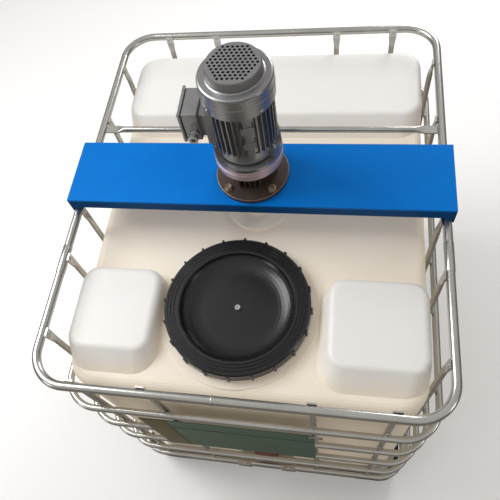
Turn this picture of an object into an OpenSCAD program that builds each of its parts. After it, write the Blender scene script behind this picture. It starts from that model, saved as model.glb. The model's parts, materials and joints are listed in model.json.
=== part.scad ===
// Mixing tank: a caged 1000 litre plastic tank on a steel pallet,
// with a geared motor and agitator carried on a folded steel bridge.
// Origin: centre of the footprint at floor level. +X right, -Y valve side, +Z up. Millimetres.

/* [Cage] */
// Width over the hoops, left to right
cage_w = 1000; // [900:10:1200]
// Length over the hoops, front to back
cage_l = 1200; // [1100:10:1400]
// Height of the top of the top rail above the floor
cage_h = 1160; // [1100:5:1250]
// Diameter of the top rail tube
rail_d = 22; // [18:1:26]
// Diameter of the other hoop tubes
hoop_d = 18; // [14:1:20]
// Diameter of the upright tubes
upright_d = 16; // [12:1:18]
// Centreline radius of the bends in the hoops
hoop_bend = 90; // [70:5:110]
// Height of the lowest hoop above the pallet's tray
hoop_rise = 30; // [25:1:40]
// Height of the second hoop above the lowest one
hoop_step = 158; // [120:2:180]
// Drop from the top of the cage to the highest hoop under the rail
hoop_drop = 230; // [200:5:260]
// Upright places across the front
front_uprights = [-385, -207, 187, 368];
// Upright places across the back
back_uprights = [-350, -190, 195, 365];
// Upright places along the left and the right side
side_uprights = [-462, -250, -100, 95, 225, 440];
// Distance of the tie bar behind the centre
tie_y = 192; // [150:2:240]

/* [Pallet] */
// Height of the bottom runners
runner_h = 20; // [15:1:30]
// Width of the bottom runners
runner_w = 60; // [40:5:80]
// Height of the feet
foot_h = 100; // [95:5:110]
// Length of a side of a corner foot
corner_foot = 150; // [120:5:170]
// Width of a middle foot
mid_foot = 150; // [120:5:170]
// Height of the frame tubes under the tray
frame_h = 22; // [18:1:30]
// Gap between the pallet's side and the cage's outside
pallet_inset = 16; // [12:1:30]

/* [Bottle] */
// Gap from the cage's outside to the plastic tank
bottle_gap = 45; // [43:1:60]
// Drop from the top of the cage to the top of the tank's straight wall
wall_drop = 143; // [130:1:180]
// Wall thickness of the plastic tank
skin = 4; // [3:0.5:6]
// Radius of the tank's upright corners
bottle_r = 80; // [60:5:100]
// Height of the valley floor above the straight wall
shoulder_h = 32; // [30:1:45]
// Height of the raised blocks above the valley
block_h = 50; // [30:2:54]
// Length of the raised block along the back
back_block_l = 270; // [230:5:300]
// Length of the raised blocks at the front corners
front_block_l = 315; // [280:5:320]
// Gap between the two front blocks
block_gap = 434; // [430:2:460]
// Distance of that gap's middle to the left of the centre
block_shift = 9; // [0:1:14]
// Run of the slope at the front of each block
block_slope = 72; // [40:2:80]

/* [Lid] */
// Distance of the lid's axis behind the tank's front
lid_front = 228; // [222:1:240]
// Distance of the lid's axis to the left of the centre
lid_x = 20; // [0:1:20]
// Diameter of the screw lid without its grip ribs
lid_d = 378; // [374:1:380]
// Number of grip ribs around the lid
lid_ribs = 20; // [12:1:30]
// Depth of the dish in the lid
dish_depth = 30; // [15:1:36]

/* [Bridge] */
// Width of the bridge, front to back
bridge_w = 200; // [196:2:210]
// Height of the bridge's top above the top rail
bridge_rise = 40; // [38:1:60]
// Depth of the bridge's long flanges
bridge_flange = 34; // [28:1:36]
// Thickness of the bridge's sheet
bridge_t = 4; // [3:0.5:5]

/* [Front] */
// Left edge of the front plate
plate_x0 = -278; // [-320:1:-240]
// Right edge of the front plate
plate_x1 = 188; // [150:1:320]
// Thickness of the front plate
plate_t = 1.5; // [1:0.25:1.5]
// Height of the plate's bead below its top edge
bead_drop = 90; // [40:5:140]
// Width of the recess for the outlet valve
niche_w = 200; // [160:5:220]
// Depth of the recess
niche_d = 100; // [90:5:120]
// Height of the recess above the tank's floor
niche_h = 170; // [150:5:220]

/* [Drive] */
// Diameter of the reducer's bolting flange
flange_d = 190; // [180:2:194]
// Bolt circle of the flange
flange_pcd = 160; // [150:2:164]
// Diameter of the reducer's ring housing
reducer_d = 170; // [160:2:176]
// Diameter of the motor over its fins
motor_d = 156; // [144:2:160]
// Diameter of the fan cowl
cowl_d = 166; // [160:2:172]
// Number of fins around the motor
fin_count = 36; // [24:4:44]
// Distance between the holes in the cowl's top
hole_pitch = 10.5; // [9:0.5:14]

/* [Agitator] */
// Diameter of the mixer shaft
shaft_d = 30; // [24:1:36]
// Diameter swept by the impeller
impeller_d = 360; // [240:10:420]
// Height of the impeller's hub above the tank floor
impeller_h = 150; // [120:10:300]
// Diameter of the coupling under the bridge
coupling_d = 56; // [46:2:64]

/* [Hidden] */
$fn = 64;
touch = 0.3; // clearance where a piece sits on the next one
run = 0.08;  // running clearance round a shaft

// Levels, worked out from the floor up
foot_z = runner_h;
frame_z = foot_z + foot_h;
tray_z = frame_z + frame_h;
tray_t = 3;
tray_rim = 26;
bottle_z = tray_z + tray_t;
wall_top = cage_h - wall_drop;
wall_h = wall_top - bottle_z - skin;
valley_z = wall_top + shoulder_h;
block_z = valley_z + block_h;
rail_z = cage_h - rail_d / 2;
bridge_top = cage_h + bridge_rise;
low_hoop_z = tray_z + hoop_rise;
second_hoop_z = low_hoop_z + hoop_step;
high_hoop_z = cage_h - hoop_drop;
hoop_gap = (high_hoop_z - second_hoop_z) / 3;
hoop_z = [low_hoop_z, second_hoop_z, second_hoop_z + hoop_gap, second_hoop_z + 2 * hoop_gap, high_hoop_z];

// Centrelines and planes in plan
bottle_w = cage_w - 2 * bottle_gap;
bottle_l = cage_l - 2 * bottle_gap;
lid_y = bottle_l / 2 - lid_front;
rail_x = cage_w / 2 - rail_d / 2;
rail_y = cage_l / 2 - rail_d / 2;
hoop_x = cage_w / 2 - hoop_d / 2;
hoop_y = cage_l / 2 - hoop_d / 2;
upright_x = cage_w / 2 - hoop_d - touch - upright_d / 2;
upright_y = cage_l / 2 - hoop_d - touch - upright_d / 2;
frame_face_x = cage_w / 2 - hoop_d - touch - upright_d - touch;
frame_face_y = cage_l / 2 - hoop_d - touch - upright_d - touch;
hook_x = 82;
hook_y = 330;
pallet_x = cage_w / 2 - pallet_inset;
pallet_y = cage_l / 2 - pallet_inset;

steel = [0.72, 0.73, 0.70];
dark_steel = [0.30, 0.31, 0.30];
black = [0.05, 0.05, 0.055];
milky = [0.90, 0.87, 0.80, 0.9];
blue = [0.02, 0.27, 0.68];
alloy = [0.42, 0.42, 0.43];
cast = [0.30, 0.27, 0.26];
green = [0.10, 0.22, 0.17];

// A slab with upright rounded corners, centred, standing on z = 0
module slab(w, l, h, r) {
    linear_extrude(h) {
        square([w - 2 * r, l], center = true);
        square([w, l - 2 * r], center = true);
        for (x = [-1, 1], y = [-1, 1])
            translate([x * (w / 2 - r), y * (l / 2 - r)]) circle(r);
    }
}

// A closed rectangular loop of round tube with bent corners
module tube_loop(hx, hy, d, bend) {
    for (s = [-1, 1]) {
        translate([-hx + bend, s * hy, 0]) rotate([0, 90, 0]) cylinder(d = d, h = 2 * (hx - bend));
        translate([s * hx, hy - bend, 0]) rotate([90, 0, 0]) cylinder(d = d, h = 2 * (hy - bend));
    }
    for (a = [0 : 90 : 270])
        rotate(a) translate(a % 180 == 0 ? [hx - bend, hy - bend, 0] : [hy - bend, hx - bend, 0])
            rotate_extrude(angle = 90) translate([bend, 0]) circle(d = d);
}

// Pallet

outer_bend = 70;
inner_bend = 20;
module base_runners() {
    color(steel) {
        difference() {
            slab(2 * pallet_x, 2 * pallet_y, runner_h, outer_bend);
            translate([0, 0, -1])
                slab(2 * (pallet_x - runner_w), 2 * (pallet_y - runner_w), runner_h + 2, inner_bend);
        }
        translate([-runner_w / 2, -(pallet_y - runner_w), 0])
            cube([runner_w, 2 * (pallet_y - runner_w), runner_h]);
    }
}

// A moulded corner foot, drawn for the +X +Y corner with its outer corner at the origin
module corner_foot_block() {
    round_r = 60;
    pocket_w = 32;
    pocket_pitch = 42;
    pocket_d = 12;
    margin = 18;
    color(black) difference() {
        translate([-corner_foot, -corner_foot, 0]) linear_extrude(foot_h) {
            square([corner_foot - round_r, corner_foot]);
            square([corner_foot, corner_foot - round_r]);
            translate([corner_foot - round_r, corner_foot - round_r]) circle(round_r);
        }
        // moulded pockets in the two outer faces
        for (k = [0, 1]) {
            along = -corner_foot + margin + k * pocket_pitch;
            translate([along, -pocket_d, margin]) cube([pocket_w, pocket_d + 1, foot_h - 2 * margin]);
            translate([-pocket_d, along, margin]) cube([pocket_d + 1, pocket_w, foot_h - 2 * margin]);
        }
    }
}

module foot_at(sx, sy) {
    translate([sx * pallet_x, sy * pallet_y, foot_z])
        mirror([sx < 0 ? 1 : 0, 0, 0]) mirror([0, sy < 0 ? 1 : 0, 0]) corner_foot_block();
}

module middle_feet() {
    depth = 90;
    color(dark_steel) translate([0, 0, foot_z]) {
        for (s = [-1, 1]) {
            translate([-mid_foot / 2, s > 0 ? pallet_y - depth : -pallet_y, 0])
                cube([mid_foot, depth, foot_h]);
            translate([s > 0 ? pallet_x - depth : -pallet_x, -mid_foot / 2, 0])
                cube([depth, mid_foot, foot_h]);
        }
        translate([-mid_foot / 2, -mid_foot / 2, 0]) cube([mid_foot, mid_foot, foot_h]);
    }
}

module base_frame() {
    fx = frame_face_x;
    fy = frame_face_y;
    bar = 40;
    color(steel) translate([0, 0, frame_z]) {
        difference() {
            slab(2 * fx, 2 * fy, frame_h, outer_bend - pallet_inset / 2);
            translate([0, 0, -1]) slab(2 * (fx - bar), 2 * (fy - bar), frame_h + 2, inner_bend);
        }
        translate([-bar / 2, -(fy - bar), 0]) cube([bar, 2 * (fy - bar), frame_h]);
        for (y = [-1, 0, 1])
            translate([-(fx - bar), y * fy / 2 - bar / 2, 0]) cube([2 * (fx - bar), bar, frame_h]);
    }
}

module base_tray() {
    gap = 1;
    t = 2;
    color(steel) translate([0, 0, tray_z]) {
        difference() {
            slab(bottle_w + 2 * (gap + t), bottle_l + 2 * (gap + t), tray_t + tray_rim, bottle_r + gap + t);
            translate([0, 0, tray_t])
                slab(bottle_w + 2 * gap, bottle_l + 2 * gap, tray_rim + 1, bottle_r + gap);
        }
    }
}

// Cage

module hoop(i) {
    color(steel) translate([0, 0, hoop_z[i]]) tube_loop(hoop_x, hoop_y, hoop_d, hoop_bend);
}

module top_rail() {
    color(steel) translate([0, 0, rail_z]) tube_loop(rail_x, rail_y, rail_d, hoop_bend);
}

// One upright: a tube with both ends pressed flat. Outward is +Y, the tube's axis is at the origin.
module upright() {
    flat_t = 4;
    flat_w = 22;
    taper = 28;
    flat_l = 24;
    low = frame_z + 2;
    high = rail_z + 8;
    rail_face = cage_w / 2 - rail_d - touch - upright_x;
    frame_face = -upright_d / 2;
    translate([0, 0, low + flat_l + taper])
        cylinder(d = upright_d, h = high - low - 2 * (flat_l + taper), $fn = 24);
    translate([-flat_w / 2, rail_face - flat_t, high - flat_l]) cube([flat_w, flat_t, flat_l]);
    translate([-flat_w / 2, frame_face, low]) cube([flat_w, flat_t, flat_l]);
    hull() {
        translate([-flat_w / 2, rail_face - flat_t, high - flat_l]) cube([flat_w, flat_t, 0.01]);
        translate([0, 0, high - flat_l - taper]) cylinder(d = upright_d, h = 0.01, $fn = 24);
    }
    hull() {
        translate([-flat_w / 2, frame_face, low + flat_l - 0.01]) cube([flat_w, flat_t, 0.01]);
        translate([0, 0, low + flat_l + taper]) cylinder(d = upright_d, h = 0.01, $fn = 24);
    }
}

module uprights_front() {
    color(steel) for (x = front_uprights) translate([x, -upright_y, 0]) rotate(180) upright();
}

module uprights_back() {
    color(steel) for (x = back_uprights) translate([x, upright_y, 0]) upright();
}

module uprights_left() {
    color(steel) for (y = side_uprights) translate([-upright_x, y, 0]) rotate(90) upright();
}

module uprights_right() {
    color(steel) for (y = side_uprights) translate([upright_x, y, 0]) rotate(-90) upright();
}

// Bar across the cage, a tube with its ends pressed flat
module tie_bar() {
    bar_d = 18;
    flat_l = 34;
    flat_w = 26;
    flat_t = 4;
    taper = 24;
    end = rail_x - rail_d / 2 - touch;
    round_end = end - flat_l - taper;
    color(steel) translate([0, tie_y, rail_z]) {
        translate([-round_end, 0, 0]) rotate([0, 90, 0]) cylinder(d = bar_d, h = 2 * round_end, $fn = 32);
        for (s = [0, 1]) mirror([s, 0, 0]) {
            translate([end - flat_l, -flat_w / 2, -flat_t / 2]) cube([flat_l, flat_w, flat_t]);
            hull() {
                translate([end - flat_l, -flat_w / 2, -flat_t / 2]) cube([0.01, flat_w, flat_t]);
                translate([round_end, 0, 0]) rotate([0, 90, 0]) cylinder(d = bar_d, h = 0.01, $fn = 32);
            }
        }
    }
}

// Sheet in front of the middle hoops that the tank's labels go on, with a bead pressed along it
module front_plate() {
    edge_gap = 4;
    bead_h = 4;
    bead_out = 1.5;
    low = hoop_z[2] + hoop_d / 2;
    high = hoop_z[4] - hoop_d / 2 - edge_gap;
    bead = high - bead_drop;
    inner = -cage_l / 2 - touch;
    outer = inner - plate_t;
    profile = [
        [inner, low], [inner, high], [outer, high], [outer, bead + bead_h],
        [outer - bead_out, bead + 1], [outer - bead_out, bead - 1], [outer, bead - bead_h], [outer, low]];
    color(green) translate([plate_x0, 0, 0]) rotate([90, 0, 90])
        linear_extrude(plate_x1 - plate_x0) polygon(profile);
}

// Hooks that hold the lowest hoop down on the pallet's frame, drawn for the +Y side
module hook() {
    t = 3;
    leg = 14;
    lip = 12;
    wide = 50;
    inner = frame_face_y + touch;
    outer = cage_l / 2 + touch;
    web = tray_z;
    top = hoop_z[0] + hoop_d / 2 + touch;
    rotate([90, 0, 90]) linear_extrude(wide, center = true) polygon([
        [inner, web - leg], [inner + t, web - leg], [inner + t, web - t], [outer + t, web - t],
        [outer + t, top + t], [outer - lip, top + t], [outer - lip, top],
        [outer, top], [outer, web], [inner, web]]);
}

module cage_hooks() {
    side_shift = (cage_l - cage_w) / 2;
    color(steel) {
        for (a = [0, 180], x = [-hook_x, hook_x]) rotate(a) translate([x, 0, 0]) hook();
        for (a = [90, 270], x = [-hook_y, hook_y]) rotate(a) translate([x, -side_shift, 0]) hook();
    }
}

// Bottle

module niche(grow) {
    translate([-niche_w / 2 - grow, -bottle_l / 2 - 50, -1])
        cube([niche_w + 2 * grow, niche_d + 50 + grow, niche_h + grow + 1]);
}

module bottle_floor() {
    color(milky) translate([0, 0, bottle_z]) difference() {
        slab(bottle_w, bottle_l, skin, bottle_r);
        niche(0);
    }
}

module bottle_wall() {
    color(milky) translate([0, 0, bottle_z + skin]) difference() {
        slab(bottle_w, bottle_l, wall_h, bottle_r);
        translate([0, 0, -1]) slab(bottle_w - 2 * skin, bottle_l - 2 * skin, wall_h + 2, bottle_r - skin);
        niche(skin);
    }
}

// Cheeks, back and roof of the valve's recess, within the notch that the wall leaves for them
module bottle_recess() {
    color(milky) translate([0, 0, bottle_z + skin]) difference() {
        intersection() {
            niche(skin);
            translate([-bottle_w / 2, -bottle_l / 2, 0]) cube([bottle_w, bottle_l, wall_h]);
        }
        niche(0);
    }
}

// Rounded block for the tank's top. Its outline is given at the height where the edge begins to roll
// over with radius e. Below that its faces run outwards by slope = [left, front, right, back].
module soft_block(x, y, r, e, top, low, slope, foot_r) {
    hull() {
        for (cx = [x[0] + r, x[1] - r], cy = [y[0] + r, y[1] - r])
            translate([cx, cy, top - e]) rotate_extrude($fn = 32) translate([r - e, 0]) intersection() {
                circle(e, $fn = 24);
                square(e);
            }
        translate([0, 0, low]) linear_extrude(0.01)
            for (cx = [x[0] - slope[0] + foot_r, x[1] + slope[2] - foot_r],
                 cy = [y[0] - slope[1] + foot_r, y[1] + slope[3] - foot_r])
                translate([cx, cy]) circle(foot_r, $fn = 32);
    }
}

// Forms on the tank's top
shoulder_e = 28;
block_e = 20;
block_foot = 30;
block_inset = 2;
back_r = 62;
front_r = 46;
left_slope = 20;
right_slope = 36;
rear_slope = 10;
neck_r = 180;
neck_h = 33;
plinth_r = 210;
plinth_rise = 3;
plinth_slope = 12;
boss_r = 85;
boss_rise = 8;
boss_slope = 20;
collar_r = 40;
collar_h = 10;

// The outside of the tank's top when s = 0, and its inside when s = skin
module top_form(s) {
    side = bottle_w / 2 - block_inset;
    end = bottle_l / 2 - block_inset;
    low = wall_top - (s > 0 ? 1 : 0);
    foot = valley_z - block_foot;
    foot_r = bottle_r - block_inset - s;
    body_x = bottle_w / 2 - s;
    body_y = bottle_l / 2 - s;
    soft_block([-body_x, body_x], [-body_y, body_y], bottle_r - s, shoulder_e, valley_z - s, low,
               [0, 0, 0, 0], bottle_r - s);
    // the long block across the back
    soft_block([-side + s, side - s], [bottle_l / 2 - back_block_l + s, end - s], back_r, block_e,
               block_z - s, foot, [0, block_slope, 0, 0], foot_r);
    // the two blocks at the front corners
    front_y = [-end + block_slope + s, -bottle_l / 2 + front_block_l - s];
    soft_block([-side + s, -block_gap / 2 - block_shift - s], front_y, front_r, block_e,
               block_z - s, foot, [0, block_slope, left_slope, rear_slope], foot_r);
    soft_block([block_gap / 2 - block_shift + s, side - s], front_y, front_r, block_e,
               block_z - s, foot, [right_slope, block_slope, 0, rear_slope], foot_r);
    // the raised ring round the filling neck
    translate([-lid_x, -lid_y, wall_top])
        cylinder(r1 = plinth_r + plinth_slope - s, r2 = plinth_r - s, h = neck_z0 - s - wall_top);
    // the raised ring round the agitator's shaft
    translate([0, 0, wall_top])
        cylinder(r1 = boss_r + boss_slope - s, r2 = boss_r - s, h = shoulder_h + boss_rise - s);
}

neck_z0 = valley_z + plinth_rise;
neck_z1 = neck_z0 + neck_h;
neck_wall = 6;
shaft_hole = shaft_d + 16;
module bottle_top() {
    through = 200;
    color(milky) difference() {
        union() {
            difference() {
                top_form(0);
                top_form(skin);
            }
            translate([-lid_x, -lid_y, neck_z0 - skin]) cylinder(r = neck_r, h = neck_h + skin);
            translate([0, 0, valley_z - skin]) cylinder(r = collar_r, h = skin + boss_rise + collar_h);
        }
        translate([-lid_x, -lid_y, wall_top - 10]) cylinder(r = neck_r - neck_wall, h = through);
        translate([0, 0, wall_top - 10]) cylinder(d = shaft_hole, h = through);
    }
}

// Lid, drawn as a turned profile

lid_r = lid_d / 2;
lid_top_t = 5;
lid_lap = 3;
lid_skirt = neck_h + lid_top_t - lid_lap;
lid_z = neck_z1 + touch;
module lid() {
    dish_r = 148;
    floor_r = 96;
    rim_drop = 3;
    web = 4;
    thread_gap = 4;
    rib_w = 6;
    rib_out = 4;
    groove_r = 178;
    groove_pitch = 8.5;
    groove_places = [for (i = [0 : 2]) groove_r - i * groove_pitch];
    groove = [[3, 0], [1.5, -2], [-1.5, -2], [-3, 0]];
    floor_z = lid_top_t - dish_depth;
    skirt_z = lid_top_t - lid_skirt;
    // a bowl: its wall rises from the flat floor as a quarter of an ellipse
    bowl_w = dish_r - floor_r;
    bowl_h = dish_depth - rim_drop;
    under_bowl = [for (a = [0 : 15 : 75])
        [floor_r + (bowl_w + web) * sin(a), floor_z - web + (bowl_h + web) * (1 - cos(a))]];
    bowl = [for (a = [90 : -10 : 0]) [floor_r + bowl_w * sin(a), floor_z + bowl_h * (1 - cos(a))]];
    rim = [
        [dish_r + 5, 0], [neck_r + thread_gap, 0], [neck_r + thread_gap, skirt_z], [lid_r, skirt_z],
        [lid_r, lid_top_t - 4], [lid_r - 4, lid_top_t]];
    rings = [for (g = groove_places, p = groove) [g + p[0], lid_top_t + p[1]]];
    profile = concat(
        [[0, floor_z - web]], under_bowl, rim, rings, [[dish_r + 4, lid_top_t]], bowl, [[0, floor_z]]);
    color(black) translate([-lid_x, -lid_y, lid_z]) {
        rotate_extrude($fn = 96) polygon(profile);
        for (i = [0 : lid_ribs - 1]) rotate(i * 360 / lid_ribs)
            translate([lid_r - 3, -rib_w / 2, skirt_z]) cube([3 + rib_out, rib_w, lid_skirt - 2]);
    }
}

module lid_vent() {
    color(steel) translate([-lid_x, -lid_y, lid_z + lid_top_t - dish_depth]) difference() {
        cylinder(d = 14, h = 7, $fn = 32);
        translate([0, 0, 2]) cylinder(d = 6, h = 6, $fn = 32);
    }
}

// Outlet valve in the niche

valve_z = bottle_z + 85;
valve_y = -bottle_l / 2 + niche_d - touch;
valve_l = 96;
valve_mid = 51;
valve_nut_d = 84;
valve_nut_h = 14;
valve_pipe_d = 62;
valve_ring_d = 76;
valve_ring_h = 34;
valve_stem_d = 26;
valve_stem_h = 48;
module valve_body() {
    color(dark_steel) translate([0, valve_y, valve_z]) rotate([90, 0, 0]) {
        cylinder(d = valve_nut_d, h = valve_nut_h);
        cylinder(d = valve_pipe_d, h = valve_l);
        translate([0, 0, valve_mid - valve_ring_h / 2]) cylinder(d = valve_ring_d, h = valve_ring_h);
        rotate([-90, 0, 0]) translate([0, -valve_mid, 0]) cylinder(d = valve_stem_d, h = valve_stem_h);
    }
}

module valve_cap() {
    cap_d = 78;
    cap_len = 14;
    grip_w = 6;
    color([0.45, 0.12, 0.08]) translate([0, valve_y - valve_l - touch, valve_z]) rotate([90, 0, 0]) {
        cylinder(d = cap_d, h = cap_len);
        for (a = [0 : 30 : 330]) rotate(a) translate([cap_d / 2 - 1, -grip_w / 2, 0])
            cube([4, grip_w, cap_len]);
    }
}

module valve_handle() {
    hub_d = 30;
    bar = [92, 16, 9];
    color(black) translate([0, valve_y - valve_mid, valve_z + valve_stem_h + touch]) {
        cylinder(d = hub_d, h = 12);
        translate([-9, -bar[1] / 2, 0]) cube(bar);
    }
}

// Bridge

bridge_end = cage_w / 2 + touch + bridge_t;
tab_w = 24;
spigot_gap = 20;
bolt_hole = 12;
module bridge() {
    flange_low = bridge_top - bridge_flange;
    tab_low = rail_z;
    inside = bridge_end - bridge_t;
    color(blue) difference() {
        union() {
            translate([-bridge_end, -bridge_w / 2, bridge_top - bridge_t])
                cube([2 * bridge_end, bridge_w, bridge_t]);
            for (s = [-1, 1]) {
                translate([-bridge_end, s > 0 ? bridge_w / 2 - bridge_t : -bridge_w / 2, flange_low])
                    cube([2 * bridge_end, bridge_t, bridge_flange]);
                translate([s > 0 ? inside : -bridge_end, -bridge_w / 2, tab_low])
                    cube([bridge_t, bridge_w, bridge_top - tab_low]);
                for (m = [-1, 1])
                    translate([m > 0 ? bridge_end - tab_w : -bridge_end,
                               s > 0 ? bridge_w / 2 - bridge_t : -bridge_w / 2, tab_low])
                        cube([tab_w, bridge_t, bridge_top - tab_low]);
            }
        }
        // saddles that sit on the top rail
        for (s = [-1, 1]) translate([s * rail_x, bridge_w / 2 + 1, rail_z]) rotate([90, 0, 0])
            cylinder(r = rail_d / 2 + touch, h = bridge_w + 2);
        // hole for the reducer's spigot and shaft
        translate([0, 0, bridge_top - bridge_t - 1])
            cylinder(r = shaft_d / 2 + spigot_gap, h = bridge_t + 2);
        for (a = [45 : 90 : 315]) rotate(a) translate([flange_pcd / 2, 0, bridge_top - bridge_t - 1])
            cylinder(d = bolt_hole, h = bridge_t + 2, $fn = 32);
    }
}

// Drive, from the bridge up

flange_t = 12;
neck_top = 78;
house_h = 26;
cap_h = 8;
shield_h = 50;
frame_len = 132;
cowl_h = 86;
cowl_t = 2;
z_house = bridge_top + neck_top;
z_shield = z_house + house_h + cap_h;
z_frame = z_shield + shield_h;
z_rear = z_frame + frame_len;

// Cast foot: a round core with a smooth web to each side and thin ribs across the front and the back
module reducer_base() {
    core_r = 46;
    web_r = 20;
    web_reach = 66;
    rib_t = 3;
    rib_pitch = 13;
    rib_reach = 54;
    head_h = 14;
    bore_h = 46;
    post_h = neck_top - head_h;
    color(cast) translate([0, 0, bridge_top]) difference() {
        union() {
            cylinder(d = flange_d, h = flange_t);
            linear_extrude(post_h) {
                circle(core_r);
                square([2 * (web_reach - web_r), 2 * web_r], center = true);
                for (s = [-1, 1]) translate([s * (web_reach - web_r), 0]) circle(web_r);
            }
            translate([0, 0, post_h]) cylinder(r1 = web_reach, r2 = reducer_d / 2 - 6, h = head_h);
            for (s = [0, 180], k = [-2 : 2]) rotate(s)
                translate([k * rib_pitch - rib_t / 2, 0, flange_t])
                    cube([rib_t, rib_reach, post_h - flange_t + 1]);
        }
        translate([0, 0, -1]) cylinder(r = shaft_d / 2 + run, h = bore_h);
        for (a = [45 : 90 : 315]) rotate(a) translate([flange_pcd / 2, 0, -1])
            cylinder(d = bolt_hole, h = flange_t + 2, $fn = 32);
    }
}

// Turned ring with a rounded foot and a groove under its lip
module reducer_housing() {
    r = reducer_d / 2;
    top = house_h + cap_h;
    groove = 2;
    color(alloy) translate([0, 0, z_house]) rotate_extrude($fn = 96) polygon([
        [0, 0], [r - 7, 0], [r - 3, 1.5], [r - 1, 4], [r, 8], [r, house_h - groove],
        [r - groove, house_h - groove / 2], [r - groove, house_h + groove / 2], [r, house_h + groove],
        [r, top - 1], [r - 1, top], [0, top]]);
}

// Motor's front shield: a disc, a waist, the body under the fins and four lugs that stand on the disc
module motor_front_shield() {
    disc_r = reducer_d / 2 - 1;
    disc_h = 12;
    waist_r = 62;
    waist_h = 6;
    body_r = motor_d / 2 - 8;
    lug_w = 24;
    lug_h = 26;
    lug_turn = 23;
    color(alloy) translate([0, 0, z_shield]) {
        cylinder(r = disc_r, h = disc_h);
        cylinder(r = waist_r, h = disc_h + waist_h);
        translate([0, 0, disc_h + waist_h]) cylinder(r = body_r, h = shield_h - disc_h - waist_h);
        linear_extrude(disc_h + lug_h) intersection() {
            circle(disc_r - 1);
            for (a = [lug_turn, 180 - lug_turn, 180 + lug_turn, -lug_turn]) rotate(a)
                translate([waist_r - 10, -lug_w / 2]) square([40, lug_w]);
        }
    }
}

// Motor frame: a core with fins, the pad for the terminal box and two wide ribs with their foot pads
module motor_frame() {
    fin_t = 2.5;
    fin_d = 11;
    core = motor_d / 2 - fin_d;
    box_pad = [46, 96, 92];
    wide_rib = 15;
    rib_turn = 72;
    foot_pad = [fin_d + 3, 30, 20];
    color(alloy) translate([0, 0, z_frame]) {
        linear_extrude(frame_len) {
            circle(core);
            for (i = [0 : fin_count - 1]) rotate((i + 0.5) * 360 / fin_count)
                translate([core - 4, -fin_t / 2]) square([fin_d + 4, fin_t]);
            for (a = [-rib_turn, rib_turn]) rotate(a)
                translate([core - 4, -wide_rib / 2]) square([fin_d + 3, wide_rib]);
        }
        translate([-motor_d / 2, -box_pad[1] / 2, 20]) cube(box_pad);
        for (a = [-rib_turn, rib_turn], z = [32, 82]) rotate(a)
            translate([core - 2, -foot_pad[1] / 2, z]) cube(foot_pad);
    }
}

module motor_rear_shield() {
    hub_bore = 10;
    hub_d = 44;
    hub_h = 24;
    plate_h = 12;
    lug_w = 18;
    cowl_inner_r = cowl_d / 2 - cowl_t;
    color(alloy) translate([0, 0, z_rear]) difference() {
        union() {
            cylinder(d = motor_d, h = plate_h);
            cylinder(d = hub_d, h = hub_h);
            // four lugs that the cowl is screwed to
            translate([0, 0, 2]) linear_extrude(plate_h) intersection() {
                circle(cowl_inner_r - touch);
                for (a = [45 : 90 : 315]) rotate(a)
                    translate([motor_d / 2 - 8, -lug_w / 2]) square([20, lug_w]);
            }
        }
        translate([0, 0, 4]) cylinder(r = hub_bore + run, h = 30);
    }
}

// Fan cowl: a thin turned shell with a seam bead, a rolled shoulder and a perforated top
module fan_cowl() {
    t = cowl_t;
    r = cowl_d / 2;
    bead = 0.8;
    cap_r = 61;
    seam_z = 30;
    shoulder_z = 59;
    hole_d = 6.6;
    holes_r = 54;
    row = hole_pitch * sqrt(3) / 2;
    outside = [
        [r - t, 0], [r, 0], [r, seam_z - 1.5],
        [r + bead, seam_z - 0.5], [r + bead, seam_z + 0.5], [r, seam_z + 1.5],
        [r, shoulder_z - 5], [r - 1.5, shoulder_z - 1.5], [r - 5, shoulder_z],
        [cap_r + 5, shoulder_z + 1], [cap_r + 2, shoulder_z + 3],
        [cap_r, cowl_h - 2], [cap_r - 1.5, cowl_h], [0, cowl_h]];
    inside = [
        [0, cowl_h - t], [cap_r - t - 1, cowl_h - t], [cap_r + 1 - t, shoulder_z - t],
        [r - t - 3, shoulder_z - t], [r - t, shoulder_z - t - 5]];
    color(alloy) translate([0, 0, z_rear + touch]) difference() {
        rotate_extrude($fn = 96) polygon(concat(outside, inside));
        for (i = [-6 : 6], j = [-6 : 6]) {
            x = hole_pitch * (i + j / 2);
            y = row * j;
            if (x * x + y * y < holes_r * holes_r)
                translate([x, y, cowl_h - t - 1]) cylinder(d = hole_d, h = t + 2, $fn = 24);
        }
    }
}

module cooling_fan() {
    blades = 7;
    disc_r = 52;
    disc_z = 26;
    color(black) translate([0, 0, z_rear + 4 + touch]) {
        cylinder(r = 10, h = 36);
        translate([0, 0, disc_z]) cylinder(r = 18, h = 14);
        translate([0, 0, disc_z]) cylinder(r = disc_r, h = 3);
        for (i = [0 : blades - 1]) rotate(i * 360 / blades)
            translate([14, -1.5, disc_z + 3]) cube([disc_r - 16, 3, 24]);
    }
}

// Terminal box on the motor's left, its open side towards the lid, on a narrower foot
box_x = motor_d / 2 + touch;
box_z = z_frame + 24;
box_d = 52;
box_s = 84;
box_wall = 5;
box_foot = 14;
module terminal_box() {
    inset = 7;
    foot_s = box_s - 2 * inset;
    color(alloy) translate([-box_x, 0, box_z]) difference() {
        union() {
            translate([-box_d, -box_s / 2, 0]) cube([box_d - box_foot, box_s, box_s]);
            translate([-box_foot, -foot_s / 2, inset]) cube([box_foot, foot_s, foot_s]);
        }
        translate([-box_d - 1, -box_s / 2 + box_wall, box_wall])
            cube([box_d - box_foot - box_wall + 1, box_s - 2 * box_wall, box_s - 2 * box_wall]);
    }
}

module terminal_lid() {
    t = 7;
    over = 4;
    color(alloy) translate([-box_x - box_d - touch - t, -box_s / 2 - over, box_z - over])
        cube([t, box_s + 2 * over, box_s + 2 * over]);
}

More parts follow.
